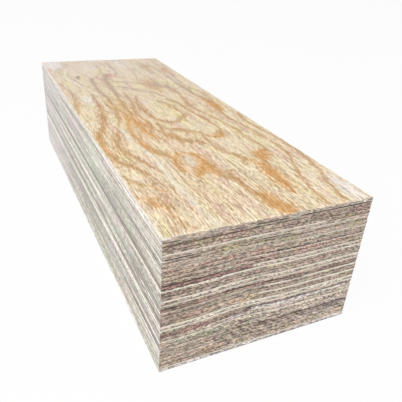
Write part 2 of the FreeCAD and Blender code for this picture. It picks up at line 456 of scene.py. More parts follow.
# Pale lines at the sheets' edges, partly pale wood and partly a painted highlight where torn fibres
# and the left corner catch the light: the sheet, 1 for its top edge or 0 for its underside, start
# and end in mm from the left side, and strength.
PALE_RIMS_AND_HIGHLIGHTS = [
    (1, 0, 0, 95, 0.5), (1, 1, 0, 3, 1.6), (4, 0, 0, 72, 1.0), (5, 0, 1, 13, 0.6),
    (5, 0, 38, 95, 0.9), (6, 1, 0, 2, 1.4), (7, 0, 2, 95, 0.4), (8, 1, 50, 95, 0.5),
    (10, 1, 40, 95, 0.6), (12, 1, 39, 95, 0.7), (13, 1, 0, 95, 1.0), (13, 1, 0, 2, 1.8),
    (16, 1, 0, 95, 1.0), (17, 1, 0, 95, 0.6), (19, 1, 46, 95, 0.9), (21, 1, 43, 95, 1.0),
    (23, 1, 0, 95, 1.0), (24, 1, 0, 95, 0.9), (24, 1, 0, 2, 1.8), (25, 0, 41, 95, 0.7),
    (27, 1, 43, 95, 0.7), (28, 0, 40, 95, 0.6), (34, 0, 30, 95, 0.6), (35, 1, 0, 95, 0.6),
]
# Tinted zones of the end: tint, strength, mm from the left side, mm from the top, and both reaches.
END_TINTS = [
    ("rose", 0.6, 3, 14.5, 4, 1.6), ("rose", 0.5, 18, 14, 3, 1.2), ("rose", 0.6, 27, 14, 4, 1.2),
    ("rose", 0.6, 42, 14, 4, 1.5), ("rose", 0.5, 44, 18.5, 9, 0.9), ("rose", 0.6, 65, 19, 9, 1.2),
    ("rose", 0.5, 83, 18, 8, 0.9), ("rose", 0.5, 12, 37.5, 7, 1.5), ("rose", 0.4, 20, 59.5, 20, 1.0),
    ("moss", 0.5, 6, 16.5, 8, 1.5), ("moss", 0.45, 27, 10, 9, 2.5), ("moss", 0.45, 55, 12, 4, 4),
    ("moss", 0.5, 87, 11, 4, 3), ("moss", 0.45, 40, 37.5, 7, 2), ("mist", 0.7, 7, 50.3, 4, 1.8),
    ("mist", 0.6, 23, 50, 7, 1.8), ("haze", 0.6, 34, 46, 7, 1.2), ("haze", 0.5, 88, 55, 8, 3),
    ("haze", 0.4, 60, 46.5, 10, 1.2), ("haze", 0.4, 75, 57, 12, 2), ("umber", 0.4, 3, 28, 14, 24),
]
# Darker stretches on the left side: the sheet, start and end in mm from the near end, strength.
SIDE_STAINS = [
    (3, 0, 30, 0.3), (7, 45, 130, 0.35), (12, 0, 112, 0.9), (11, 0, 50, 0.35), (17, 0, 40, 0.4),
    (18, 20, 90, 0.35), (19, 27, 35, 0.9), (20, 82, 96, 0.8), (21, 29, 60, 0.8), (21, 80, 165, 0.6),
    (22, 0, 40, 0.3), (26, 0, 40, 0.7), (27, 20, 60, 0.3), (30, 10, 80, 0.4), (32, 0, 30, 0.3),
]
COMMON_RIM = 0.4
RIM_SHARE = 0.3
# Brightness of each sheet on the long sides, from the top sheet down. There the saw laid the
# sheets bare along the grain, and how pale one looks has little to do with its end.
SIDE_SHADES = {"white": 1.17, "pale": 1.08, "plain": 1.0, "dull": 0.94, "dark": 0.86, "black": 0.76}
SIDE_STACK = (
    "white white pale plain pale pale plain plain dull dull "
    "dull black white dull plain pale plain dark pale dull "
    "black dull white pale dark dull dull dull plain pale "
    "pale plain plain pale pale"
).split()
# Low in the stack some sheets hold slanting growth, where their log had a burr. Its layers show
# as a fan of short strokes, each by mm from the left side, mm from the top and half width in mm.
BURR_SHEETS = range(27, 35)
BURR_START, BURR_FULL = 12, 38
BURR_STROKES = [
    (
        0.55 + 0.4 * math.sin(stroke * 2.3) ** 2,
        (start, top, 0.45),
        (start + 1.6, top + 1.9, 0.5),
        (start + 4.6, top + 3.6, 0.35),
    )
    for stroke in range(17)
    for start, top in [(24 + 4.1 * stroke, 54.9 + 1.5 * math.sin(stroke * 1.7))]
] + [
    (0.9, (45, 55.3, 0.4), (49.4, 53.6, 0.45), (54, 54.4, 0.3)),
    (0.7, (56, 54.6, 0.3), (62.5, 53.4, 0.45), (74, 54.6, 0.35), (95, 54.8, 0.4)),
    (0.6, (36, 50, 0.3), (43, 51.2, 0.4), (47, 53.4, 0.3)),
    (0.6, (14, 52.4, 0.3), (27, 51.8, 0.35), (41, 52.6, 0.3)),
]
STACK_SIZE = len(STACK)


def layer_number(node):
    """Counts sheets from the top: 1 is the face veneer, the last is the back veneer."""
    if node == "face_veneer":
        return 1
    if node == "back_veneer":
        return STACK_SIZE
    return int(node.split("_")[1])


print("tones for", STACK_SIZE, "layers")

# %% [markdown]
# ## Open glue lines
#
# Here and there the saw tore a glue line open, or a sheet was short and left a slot. Each is a
# thin slit, given by the sheet over it, where it starts and ends, and how deep it goes. The
# slits are cut into the mesh and get painted shade inside, because a painted line alone would look
# printed.

# %% Slits on the sawn end and on the left side
# Sheet above the line, start and end in mm from the left side, depth in mm.
END_SLITS = [
    (1, 0, 8, 0.4), (1, 26, 34, 0.5), (1, 38, 53, 0.8), (1, 58, 95, 0.6), (2, 0, 40, 0.3),
    (5, 0, 13, 0.5), (5, 38, 56, 0.4), (9, 44, 72, 0.5), (9, 72, 95, 0.3), (11, 0, 24, 0.4),
    (10, 36, 45, 0.4), (12, 0, 30, 0.3), (17, 0, 8, 0.6), (17, 26, 42, 0.7), (17, 45, 57, 0.7),
    (18, 55, 66, 0.6), (24, 38, 43, 1.0), (24, 43, 95, 0.4), (25, 70, 74, 0.6), (25, 76, 79, 0.6),
    (25, 80, 84, 0.6), (28, 50, 58, 0.5), (29, 45, 51, 0.6), (29, 56, 94, 0.4), (33, 0, 34, 0.3),
]
# Sheet above the line, start and end in mm from the near end, depth in mm.
SIDE_SLITS = [
    (12, 0, 111, 0.5), (19, 28, 34, 0.5), (20, 83, 95, 0.5), (21, 30, 60, 0.5),
    (21, 95, 150, 0.3), (26, 0, 36, 0.3), (4, 0, 60, 0.25), (7, 10, 70, 0.2),
]
# A slit grows to its full depth over this length in mm, from a blunt tip of this share.
SLIT_TAPER = 1.5
SLIT_TIP = 0.2


def slit_depth(slits, layer, height, place):
    """Depth of the slit at a place along the line nearest to this height in the sheet."""
    line = layer if height < 0.5 else layer - 1
    deepest = 0.0
    for upper, start, end, depth in slits:
        if upper == line and start <= place <= end:
            to_tip = min(place - start, end - place)
            deepest = max(deepest, depth * min(1.0, to_tip / SLIT_TAPER + SLIT_TIP))
    return deepest


print("slits:", len(END_SLITS), "on the end,", len(SIDE_SLITS), "on the side")

# %% [markdown]
# ## The figure of the face veneer
#
# The loops are drawn as a joiner would sketch them: a few points along each band, with the band's
# half width at each point. Distances are in millimetres from the near end and from the left side.
# A smooth curve through the points is sampled finely, and each spot of the mesh takes the
# strength of the band nearest to it.

# %% Growth bands, drawn one by one
# Each band: strength, then its points, each by mm from the near end, mm from the left side and
# half width in mm.
GROWTH_BANDS = [
    (0.90, (50, 12, 0.9), (57, 9, 1.2), (64, 5, 1.5), (70, 3, 1.5), (80, 1.8, 1.3),
     (90, 2, 1.5), (98, 3, 1.8), (104, 5, 1.6), (110, 8, 1.3), (118, 11, 1.5), (128, 13, 1.5),
     (140, 15, 1.2), (155, 16, 0.9), (172, 17, 0.9)),
    (0.85, (50, 18.5, 0.6), (58, 16, 0.8), (66, 13.5, 0.9), (73, 10.8, 1.1), (80, 9, 1.5),
     (86, 9.3, 1.5), (94, 11.8, 1.4), (100, 13.8, 1.4), (106, 16, 1.0), (114, 18, 0.8),
     (124, 21, 0.8), (135, 22.3, 0.7), (150, 21, 0.7)),
    (0.85, (48.5, 27.9, 1.0), (53, 27.6, 1.2), (58.5, 28.8, 1.3), (64, 30.5, 1.3),
     (67.5, 33.5, 1.0), (67, 38, 0.8), (64, 41.2, 0.9), (58, 41.6, 1.1), (54, 41, 1.2),
     (49.3, 38.6, 1.5), (45, 35.5, 1.5), (41.5, 32.8, 0.9)),
    (1.00, (63, 29.5, 1.0), (67, 26.8, 1.9), (71, 24.5, 2.0), (76, 22.4, 1.5), (80, 21.6, 1.1),
     (86, 20.6, 0.9), (95, 21, 0.9)),
    (0.75, (95, 21, 1.2), (105, 21.3, 1.2), (112, 23, 1.4), (120, 25, 1.5), (128, 25.5, 1.4),
     (140, 24.7, 1.2), (152, 23.6, 1.0), (160, 24.5, 1.2), (170, 24.5, 1.0), (185, 23, 1.2),
     (200, 24.5, 1.4), (212, 26.5, 1.2)),
    (0.85, (84, 33, 1.0), (92, 31, 1.2), (100, 28.5, 1.3), (110, 28, 1.6), (120, 28.2, 1.4),
     (130, 29.5, 1.2), (145, 30, 1.0), (160, 31.5, 1.1), (172, 33, 1.3), (184, 33, 1.5),
     (195, 33.8, 1.5), (205, 34, 1.6), (213, 37, 1.8), (220, 39.5, 1.4)),
    (0.85, (88, 37, 1.3), (96, 36.5, 1.2), (103, 33.5, 1.3), (109, 34, 1.3), (118, 33.6, 0.9),
     (130, 32.6, 0.8), (142, 35, 1.2), (150, 36.5, 1.2), (160, 37.5, 1.0), (172, 38, 0.9)),
    (0.90, (76.5, 51.5, 1.6), (79, 48, 2.0), (82, 44, 1.8), (86, 40.5, 1.6), (93, 38, 1.4),
     (101, 38, 1.4), (110, 38.6, 1.0)),
    (0.80, (100, 42, 1.2), (98, 46, 1.8), (96.5, 49, 1.6), (93.5, 53, 1.4), (89, 56.8, 1.3),
     (85, 58.7, 1.3), (82.6, 61.5, 1.4), (83.5, 64.5, 1.7), (87, 67, 1.5), (92, 69, 1.1),
     (100, 69.4, 0.9), (110, 68.5, 0.9), (120, 66.6, 1.0), (132, 65.5, 0.9), (143, 64.5, 0.9),
     (153, 62, 0.9), (162, 61, 0.7)),
    (0.80, (163, 44, 0.7), (155, 41, 0.9), (146, 39, 1.0), (132, 39, 0.9), (121, 40, 0.9),
     (114, 42, 1.0), (110.5, 45.5, 1.2), (110.5, 50, 1.3), (114, 54.5, 1.5), (119, 59, 1.5),
     (125, 59, 1.0), (134, 58, 0.9), (142, 57, 0.9), (150, 53.5, 0.8)),
    (0.75, (90, 56.6, 1.2), (84, 56, 1.0), (77, 55, 1.0), (70, 55, 1.1), (64, 56, 1.2),
     (60, 58.8, 1.4), (55, 62, 2.0), (49, 64.5, 2.0), (44, 66, 1.6)),
    (1.00, (15, 65, 0.8), (20, 65.5, 1.8), (26, 66, 2.6), (32, 66.5, 2.4), (38, 67, 2.0),
     (44, 68.5, 1.8), (49, 70.5, 2.0), (54, 73, 2.6), (57, 74.5, 2.0), (59, 77.5, 1.2)),
    (0.60, (17, 63.3, 0.6), (30, 62, 0.7), (40, 62.3, 0.8)),
    (0.70, (56, 77, 1.2), (62, 78.6, 1.1), (70, 79, 1.0), (80, 77.8, 1.1), (90, 78, 1.3),
     (98, 77, 1.0), (106, 75.5, 0.9), (114, 73.5, 0.9), (124, 71.6, 0.9), (134, 70.2, 1.0),
     (144, 70.8, 0.9), (154, 72, 1.1), (163, 73.3, 1.8), (172, 73.3, 1.8), (182, 71, 2.2)),
    (0.80, (2, 73, 0.9), (10, 73.2, 0.9), (18, 74.2, 1.0), (24, 76, 1.2), (31, 79, 1.0),
     (38, 81.2, 0.9), (44, 83.8, 0.9), (50, 86.3, 1.0), (58, 87.4, 1.0), (67, 87.5, 1.0),
     (78, 86.8, 0.9), (90, 85.6, 0.9), (100, 84.4, 0.8), (107, 83, 0.9), (115, 82.7, 0.9),
     (122, 84, 1.4)),
    (1.00, (122, 84, 1.4), (128, 85.6, 2.2), (134, 86, 2.4), (141, 85.5, 1.8), (150, 84.3, 1.2),
     (162, 83, 1.0), (175, 82.3, 1.2), (186, 82, 1.0)),
    (0.80, (2, 81.5, 1.2), (6, 82.2, 1.2), (13, 84, 0.8), (19, 85.3, 0.9), (25, 87.6, 1.1),
     (31, 90, 1.0), (37, 91.2, 0.9), (46, 92.8, 0.8), (58, 93.8, 0.7), (70, 93.4, 0.7),
     (82, 92, 0.6), (92, 91, 0.7), (101, 90.2, 0.8), (110, 92, 0.7), (118, 94, 0.6)),
    (1.00, (1, 55.5, 2.0), (5, 54, 2.4), (9, 52, 2.2), (14, 50, 1.8), (20, 48.7, 1.4),
     (27, 47.8, 1.3), (34, 46.4, 1.3), (38, 44.4, 1.8), (43, 43, 2.0), (48, 42.4, 1.8),
     (54, 42, 1.2), (62, 41.6, 1.0)),
    (0.70, (3, 14, 0.8), (8, 11.5, 1.3), (13, 10.3, 1.2), (19, 9, 0.8), (24, 6.5, 1.6),
     (28, 4.3, 1.4), (32, 1, 1.0)),
    (0.65, (33, 14, 0.8), (38, 10, 0.9), (42, 6.5, 1.3), (46, 4, 1.2), (50, 1, 0.8)),
    (0.55, (3, 27, 0.5), (9, 26, 0.5), (14, 25, 0.4)),
    (0.55, (17, 28, 0.5), (25, 26.4, 0.5), (32, 25.8, 0.4), (40, 24, 0.4)),
    (0.50, (20, 19.3, 0.5), (28, 18.8, 0.4), (35, 17.6, 0.5), (42, 16.5, 0.4)),
    (0.55, (3, 35.3, 0.5), (8, 35.6, 0.4)),
    (0.55, (41, 22.5, 0.4), (48, 22.3, 0.4)),
    (0.60, (136, 1, 0.9), (146, 1.5, 1.2), (154, 2.8, 1.5), (161, 4.2, 1.5), (170, 5, 1.0),
     (184, 4.5, 0.8), (200, 2.5, 0.7)),
    (0.45, (222, 7, 1.5), (232, 7.8, 1.6), (243, 9, 1.4)),
    (0.45, (244, 14.5, 1.5), (252, 16, 1.6), (262, 15, 1.0)),
    (0.45, (215, 74, 1.2), (225, 74.5, 1.6), (234, 75, 2.2), (246, 75, 1.6), (258, 74, 1.0)),
    (0.35, (208, 86, 1.2), (215, 88, 1.6), (224, 89, 2.0), (231, 91.5, 1.8), (238, 93.5, 1.2)),
    (0.65, (153, 89.5, 0.8), (163, 89, 0.9), (171, 87, 0.9), (184, 85.5, 0.8), (200, 86.5, 0.8),
     (212, 88, 1.0)),
    (0.50, (179, 67, 2.2), (184, 66.2, 3.4), (188, 65.6, 3.4), (193, 65, 2.2)),
    (0.65, (186, 82, 0.8), (200, 82.5, 0.7), (217, 82.5, 0.8), (233, 81.5, 0.8), (252, 81, 0.7)),
    (0.75, (152, 24, 0.5), (163, 23.8, 0.6), (176, 24, 0.6), (186, 23.8, 0.5)),
    (0.70, (187, 38, 0.9), (182, 44, 1.0), (177, 49, 1.1), (171, 54, 1.0), (166, 58, 0.9),
     (158, 60.5, 0.8)),
    (0.65, (199, 41, 0.9), (196, 47, 1.1), (192, 54, 1.3), (188, 60, 1.5), (182, 67, 1.5),
     (175, 70.5, 1.1)),
    (0.50, (176, 22, 0.7), (190, 18.5, 0.7), (200, 15, 0.7), (212, 12.5, 0.7), (222, 12.5, 0.7)),
    (0.50, (205, 27.5, 0.8), (216, 31, 1.0), (226, 36, 1.0), (240, 38, 0.9), (258, 38.5, 0.8)),
    (0.50, (212, 43, 0.8), (222, 47, 1.0), (236, 48.3, 1.1), (256, 49, 0.9)),
    (0.45, (200, 57, 0.8), (214, 60, 0.8), (232, 61.5, 0.9), (260, 60.5, 0.8)),
    (0.40, (172, 17, 0.8), (186, 16, 0.7), (200, 14.5, 0.7), (214, 12.5, 0.8), (230, 12, 0.7)),
    (0.40, (195, 3, 0.8), (210, 5, 0.7), (222, 7, 1.0)),
]
# Pale sap streaks, drawn like the bands. The fourth and the last are thin painted highlights along the
# face's left and near edges.
PALE_STREAKS_AND_HIGHLIGHTS = [
    (0.7, (2, 23, 1.0), (8, 22.8, 1.1), (14, 22.2, 1.1), (20, 21.4, 1.0), (28, 21, 0.9),
     (36, 20.6, 1.0), (45, 20.4, 1.3), (53, 20.4, 1.5), (62, 20.6, 1.5), (70, 20.4, 1.2),
     (78, 18.8, 1.1), (86, 17.6, 1.1), (95, 17, 1.2), (105, 17, 1.2), (116, 17.5, 1.1),
     (126, 18, 0.9)),
    (0.5, (2, 20.8, 0.5), (12, 20.2, 0.5), (22, 19.6, 0.5), (32, 18.6, 0.5)),
    (0.7, (172, 20.5, 0.8), (183, 18, 0.9), (194, 14.5, 1.0), (205, 11, 1.1), (217, 9, 1.1),
     (231, 11, 1.2), (243, 14, 1.2)),
    (0.9, (2, 0.2, 0.45), (90, 0.2, 0.45), (180, 0.2, 0.5), (266, 0.2, 0.6)),
    (0.5, (3, 76, 0.8), (12, 78, 1.2), (22, 81, 1.2), (34, 84.5, 1.0)),
    (0.5, (2, 88, 1.5), (14, 90, 1.8), (26, 92.5, 1.2)),
    (0.4, (150, 13, 1.5), (162, 13.5, 2.0), (174, 13, 1.4)),
    (0.4, (112, 51, 1.2), (122, 52, 1.5), (134, 52, 1.2)),
    (0.9, (118.5, 0, 0.8), (119, 3.5, 0.8), (119.5, 7, 0.6)),
    (0.55, (53, 34.5, 1.6), (58, 35.5, 2.4), (62, 36.5, 1.6)),
    (0.5, (0.7, 0, 0.7), (0.7, 48, 0.6), (0.7, 95, 0.7)),
]
KNOTS = [(0.8, (212, 17, 1.2), (215.5, 17.3, 1.6), (219, 18, 1.2))]
# The photograph doesn't show the bottom face. It gets plain straight grain, each band a slow wave.
BACK_BANDS = [
    (
        0.45 + 0.15 * math.sin(band * 2.1),
        *(
            (along, 4 + band * 7.4 + 2.2 * math.sin(along / 46 + band * 0.5), 0.8 + 0.3 * (band % 3))
            for along in range(0, 271, 15)
        ),
    )
    for band in range(13)
]
# Stained zones: strength, mm from the near end, mm from the left side, and reach both ways in mm.
WARM_ZONES = [
    (0.9, 54, 36, 20, 10), (0.9, 10, 53, 16, 6), (0.9, 33, 66, 20, 5), (0.8, 106, 27, 26, 8),
    (0.35, 24, 32, 26, 14), (0.35, 34, 14, 20, 6), (0.9, 54, 73.5, 8, 5), (0.8, 84, 63, 5, 4),
    (0.6, 82, 22, 12, 4), (0.35, 88, 42, 12, 6), (0.5, 25, 8, 18, 6), (0.5, 85, 4, 22, 5),
    (0.6, 132, 86, 14, 4), (0.9, 187, 63, 19, 9), (0.4, 172, 73, 14, 4), (0.45, 150, 27, 30, 7),
    (0.45, 190, 33, 26, 5), (0.5, 216, 37, 12, 5), (0.6, 238, 76, 14, 4), (0.6, 226, 87, 14, 6),
    (0.4, 175, 48, 8, 4), (0.4, 155, 4, 16, 3),
]
# Tinted zones: tint, strength, then place and reach in the same way.
TINTS = {
    "straw": paint(248, 232, 190),
    "blush": paint(238, 196, 170),
    "lilac": paint(252, 243, 243),
    "tan": paint(208, 172, 140),
    "mint": paint(222, 216, 182),
    "rose": paint(190, 134, 122),
    "moss": paint(182, 172, 124),
    "mist": paint(190, 198, 178),
    "haze": paint(204, 192, 200),
    "umber": paint(146, 124, 112),
}
FACE_TINTS = [
    ("straw", 0.7, 191, 40, 9, 5), ("straw", 0.8, 185, 53, 10, 4), ("straw", 0.5, 150, 27, 14, 2),
    ("straw", 0.5, 208, 56, 14, 5), ("straw", 0.4, 128, 90, 30, 4), ("straw", 0.5, 200, 78, 30, 3),
    ("blush", 0.9, 217, 41, 9, 4), ("blush", 0.8, 205, 35, 12, 3), ("blush", 0.9, 223, 87, 13, 4),
    ("blush", 0.5, 235, 75, 9, 2), ("blush", 0.4, 150, 72, 8, 1.5), ("blush", 0.5, 152, 2.5, 10, 2),
    ("lilac", 0.8, 161, 12, 13, 4), ("lilac", 0.5, 243, 31, 18, 10), ("lilac", 1.0, 256, 6, 18, 9),
    ("lilac", 0.8, 12, 90, 16, 6), ("lilac", 0.6, 250, 58, 16, 9), ("lilac", 0.6, 148, 45, 10, 2.5),
    ("mint", 0.5, 100, 61, 10, 5), ("mint", 0.6, 230, 66, 12, 4), ("mint", 0.4, 170, 40, 10, 5),
    ("tan", 0.7, 106, 31, 12, 5), ("tan", 0.5, 135, 28, 26, 6), ("tan", 0.75, 30, 12, 24, 6),
    ("tan", 0.4, 78, 22, 10, 4), ("tan", 0.35, 90, 42, 10, 5), ("blush", 0.5, 65, 34, 4, 4),
    ("tan", 0.3, 70, 70, 12, 4),
]
SAMPLES_PER_SPAN = 5
HALO_WIDTH = 2.6
HALO_SHARE = 0.4
FARTHEST = 9.0


def smooth_curve(points):
    """Samples a curve through the points: rows of place, place and half width."""
    padded = np.array([points[0], *points, points[-1]], float)
    rows = []
    for before, start, end, after in zip(padded, padded[1:], padded[2:], padded[3:]):
        for step in range(SAMPLES_PER_SPAN):
            t = step / SAMPLES_PER_SPAN
            pull = 2 * before - 5 * start + 4 * end - after
            bend = 3 * (start - end) + after - before
            rows.append(start + 0.5 * t * (end - before + t * (pull + t * bend)))
    rows.append(padded[-1])
    return np.array(rows)


def painted(bands, places):
    """Strength of the strongest band at each place, and the distance to the nearest band."""
    strength = np.zeros(len(places))
    nearest = np.full(len(places), FARTHEST)
    for force, *points in bands:
        curve = smooth_curve(points)
        low, high = curve[:, :2].min(axis=0) - FARTHEST, curve[:, :2].max(axis=0) + FARTHEST
        close = np.flatnonzero(((places > low) & (places < high)).all(axis=1))
        spots = places[close]
        for start, end in zip(curve, curve[1:]):
            way = end[:2] - start[:2]
            share = np.clip((spots - start[:2]) @ way / max(way @ way, 1e-9), 0, 1)
            distance = np.linalg.norm(spots - start[:2] - share[:, None] * way, axis=1)
            half_width = start[2] + share * (end[2] - start[2])
            core = np.exp(-((distance / half_width) ** 2))
            halo = np.exp(-((distance / half_width / HALO_WIDTH) ** 2))
            value = force * ((1 - HALO_SHARE) * core + HALO_SHARE * halo)
            strength[close] = np.maximum(strength[close], value)
            nearest[close] = np.minimum(nearest[close], distance)
    return strength, nearest


def stained(zones, places):
    """Strength of the stained zones at each place, soft at their rims."""
    strength = np.zeros(len(places))
    for force, along, across, long_reach, cross_reach in zones:
        reach = (places - (along, across)) / (long_reach, cross_reach)
        strength = np.maximum(strength, force * np.exp(-((reach**2).sum(axis=1)) * 1.2))
    return strength


def tinted(zones, places):
    """The blended tint at each place as a colour whose alpha is the strength."""
    shares = np.array([stained([zone], places) for _, *zone in zones])
    paints = np.array([TINTS[zone[0]] for zone in zones])
    colours = shares.T @ paints / np.maximum(shares.sum(axis=0), 1e-6)[:, None]
    colours[:, 3] = shares.max(axis=0)
    return colours


print("growth bands:", len(GROWTH_BANDS), "tinted zones:", len(FACE_TINTS))

# %% [markdown]
# ## From a plain solid to a sawn sheet
#
# The packed solid gives the true outline of a sheet: its two glued faces, rippled where the stack
# buckled in the press. They are read from the node's own mesh, so nothing is typed twice. A flat
# grid is laid on the near end between those two lines and extruded along the beam. That puts
# small faces where the saw cut, on the ends and sides, and long plain ones where glue hides them.

# %% Read a sheet's outline from its node
FACING = 0.5
SHOWN_FACE = {"face_veneer": 1, "back_veneer": -1}


def sheet_outline(node):
    """Two polylines across the near end, the sheet's underside and its top, as (y, z) rows."""
    solid = bmesh.new()
    solid.from_mesh(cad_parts[node].data)
    bmesh.ops.remove_doubles(solid, verts=solid.verts, dist=0.001 * MM)
    solid.normal_update()
    near = [v for v in solid.verts if v.co.x < NEAR_END + TOUCHING]
    lines = []
    for side in (-1, 1):
        edge = {
            round(v.co.y, 7): v.co.z
            for v in near
            if any(face.normal.z * side > FACING for face in v.link_faces)
        }
        lines.append(np.array(sorted(edge.items())))
    solid.free()
    return lines


print("corners under and over veneer 17:", [len(line) for line in sheet_outline("veneer_17")])

# %% [markdown]
# The rows of the grid stand closest at the glued faces, where the grooves and slits need them.
# The sides are cut again along the beam, and so is the one face that shows: finely, because the
# figure and the relief of the face veneer are painted on these small faces.

# %% Lay a grid on the near end and extrude it along the beam
ROW_HEIGHTS = [0.0, 0.07, 0.24, 0.4, 0.6, 0.76, 0.93, 1.0]
COLUMN_WIDTH = 0.6 * MM
FACE_STEP = 0.75 * MM
SIDE_STEP = 3.0 * MM


def end_grid(bm, node):
    """A grid of the sheet's own outline on the near end, with each vertex's height in it."""
    under, over = sheet_outline(node)
    right, left = under[0, 0], under[-1, 0]
    columns = round((left - right) / COLUMN_WIDTH)
    rows = len(ROW_HEIGHTS) - 1
    bmesh.ops.create_grid(bm, x_segments=columns, y_segments=rows, size=0.5)
    height_layer = bm.verts.layers.float.new("height_in_sheet")
    for v in bm.verts:
        y = right + (v.co.x + 0.5) * (left - right)
        height = ROW_HEIGHTS[round((v.co.y + 0.5) * rows)]
        low = np.interp(y, under[:, 0], under[:, 1])
        high = np.interp(y, over[:, 0], over[:, 1])
        v.co = (NEAR_END, y, low + (high - low) * height)
        v[height_layer] = height


def cut_lengthways(bm, faces, step):
    """Cuts long faces across into even steps."""
    edges = {
        edge
        for face in faces
        for edge in face.edges
        if abs(edge.verts[0].co.x - edge.verts[1].co.x) > BEAM_LENGTH / 2
    }
    cuts = round(BEAM_LENGTH / step) - 1
    bmesh.ops.subdivide_edges(bm, edges=list(edges), cuts=cuts, use_grid_fill=True)


def plain_sheet(node):
    """The sheet's solid with small faces wherever it shows, and its three kinds of face."""
    bm = bmesh.new()
    end_grid(bm, node)
    made = bmesh.ops.extrude_face_region(bm, geom=list(bm.faces), use_keep_orig=True)["geom"]
    moved = [item for item in made if isinstance(item, bmesh.types.BMVert)]
    bmesh.ops.translate(bm, verts=moved, vec=(BEAM_LENGTH, 0, 0))
    bmesh.ops.recalc_face_normals(bm, faces=bm.faces)
    for face in bm.faces:
        across, along = abs(face.normal.x) > FACING, abs(face.normal.y) > FACING
        face.material_index = SAWN_ACROSS if across else SAWN_ALONG if along else KNIFE_CUT
    shown = SHOWN_FACE.get(node)
    if shown:
        face_side = [face for face in bm.faces if face.normal.z * shown > FACING]
        cut_lengthways(bm, face_side, FACE_STEP)
    cut_lengthways(bm, [face for face in bm.faces if face.material_index == SAWN_ALONG], SIDE_STEP)
    return bm


print("steps along the face:", round(BEAM_LENGTH / FACE_STEP), "sides:", round(BEAM_LENGTH / SIDE_STEP))

# %% [markdown]
# ## What the saw did
#
# No sheet ends exactly in the plane of the cut. Soft sheets tear a little deeper than hard ones,
# the glue lines stand back as fine grooves, and single fibres are pulled out. On the near top
# edge small chips are missing. All of it goes inwards from the sawn planes, by a few tenths of a
# millimetre and by up to one in the slits, so the beam stays inside its true size.

# %% Depth of the cut at a spot
END_TEAR = 0.16 * MM
SIDE_TEAR = 0.05 * MM
END_GROOVE = 0.14 * MM
SIDE_GROOVE = 0.07 * MM
FIBRE_PULL = 0.12 * MM
SIDE_PULL = 0.4 * FIBRE_PULL
PULL_SIZE = 0.9 * MM
WANDER_SIZE = 5 * MM
SIDE_PULL_SIZE = 4 * MM
# How much of a slit's depth each row of the grid takes, by its height in the sheet.
SLIT_SHARES = {0.0: 1.0, 0.07: 0.7, 0.93: 0.7, 1.0: 1.0}
ARRIS_CHIPS = 0.7 * MM
ARRIS_CHIP_SIZE = 0.7 * MM
ARRIS_SHADE = 0.3


def groove(height, depth):
    """Rounded corners of the sheet at its two glued faces."""
    return depth if height < 0.01 or height > 0.99 else 0.0


def own_share(layer, salt):
    """A fixed number between 0 and 1 for each sheet."""
    return 0.5 + 0.5 * noise.cell(Vector((layer * 7.3, salt * 3.1, 0.5)))


def speckle(place, size):
    """Smooth noise from 0 to 1 with blobs of the given size."""
    return min(1.0, max(0.0, 0.5 + 0.7 * noise.noise(place / size)))


def saw_end(v, layer, height, far):
    """How far a vertex on a sawn end stands back from the plane of the cut, and the depth of its slit,
    which sets its painted shade; on the top arris, the painted shade of its chip.
    """
    place = (LEFT_SIDE - v.co.y) / MM
    slit = 0.0 if far else slit_depth(END_SLITS, layer, height, place)
    rough = FIBRE_PULL * speckle(v.co + Vector((layer, 0, 0)), PULL_SIZE)
    wander = FIBRE_PULL * speckle(v.co + Vector((0, layer, 0)), WANDER_SIZE)
    depth = own_share(layer, 1) * END_TEAR + groove(height, END_GROOVE) + rough + wander
    slit *= SLIT_SHARES.get(round(height, 2), 0.0)
    # A chip in the top arris sinks, and its depth also sets the painted shade in it.
    if layer == 1 and height == 1.0:
        tooth = ARRIS_CHIPS * speckle(v.co, ARRIS_CHIP_SIZE) ** 2
        return depth + tooth, ARRIS_SHADE * tooth / ARRIS_CHIPS
    return depth + slit * MM, slit


def saw_side(v, layer, height, right):
    """The same for a long side."""
    place = (v.co.x - NEAR_END) / MM
    slit = 0.0 if right else slit_depth(SIDE_SLITS, layer, height, place)
    rough = SIDE_PULL * speckle(v.co + Vector((0, 0, layer)), SIDE_PULL_SIZE)
    depth = own_share(layer, 2) * SIDE_TEAR + groove(height, SIDE_GROOVE) + rough
    slit *= SLIT_SHARES.get(round(height, 2), 0.0)
    return depth + slit * MM, slit


deepest = END_TEAR + END_GROOVE + 2 * FIBRE_PULL
print("deepest cut beside the slits:", round(deepest / MM, 2), "mm")

# %% [markdown]
# Only vertices on the outer planes move: at both ends of every sheet, and on a long side where
# the sheet reaches it. Strips therefore still meet at their edge joint. How far a slit opens and how
# deep a chip of the top arris goes are kept on the mesh, for the materials to paint shade into them.


# %% Build one sawn sheet
def build_sheet(node):
    """The mesh of one sheet, with the marks of the saw."""
    layer = layer_number(node)
    bm = plain_sheet(node)
    height_layer = bm.verts.layers.float["height_in_sheet"]
    gap_layer = bm.verts.layers.float.new("gap_shade")
    low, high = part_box(node)
    is_left = LEFT_SIDE - high.y < TOUCHING
    is_right = low.y - BEAM_LOW.y < TOUCHING
    for v in bm.verts:
        height = v[height_layer]
        at_near, at_far = v.co.x < low.x + TOUCHING, v.co.x > high.x - TOUCHING
        at_left = is_left and v.co.y > high.y - TOUCHING
        at_right = is_right and v.co.y < low.y + TOUCHING
        move = Vector((0, 0, 0))
        slit = 0.0
        if at_near or at_far:
            depth, slit = saw_end(v, layer, height, at_far)
            move.x = depth if at_near else -depth
        if at_left or at_right:
            depth, side_slit = saw_side(v, layer, height, at_right)
            move.y = -depth if at_left else depth
            slit = max(slit, side_slit)
        # How much painted shade the slit or the arris chip gets.
        v[gap_layer] = min(1.0, slit * 2)
        v.co += move
    bmesh.ops.recalc_face_normals(bm, faces=bm.faces)
    mesh = bpy.data.meshes.new(f"{node}_sawn")
    bm.to_mesh(mesh)
    bm.free()
    return mesh


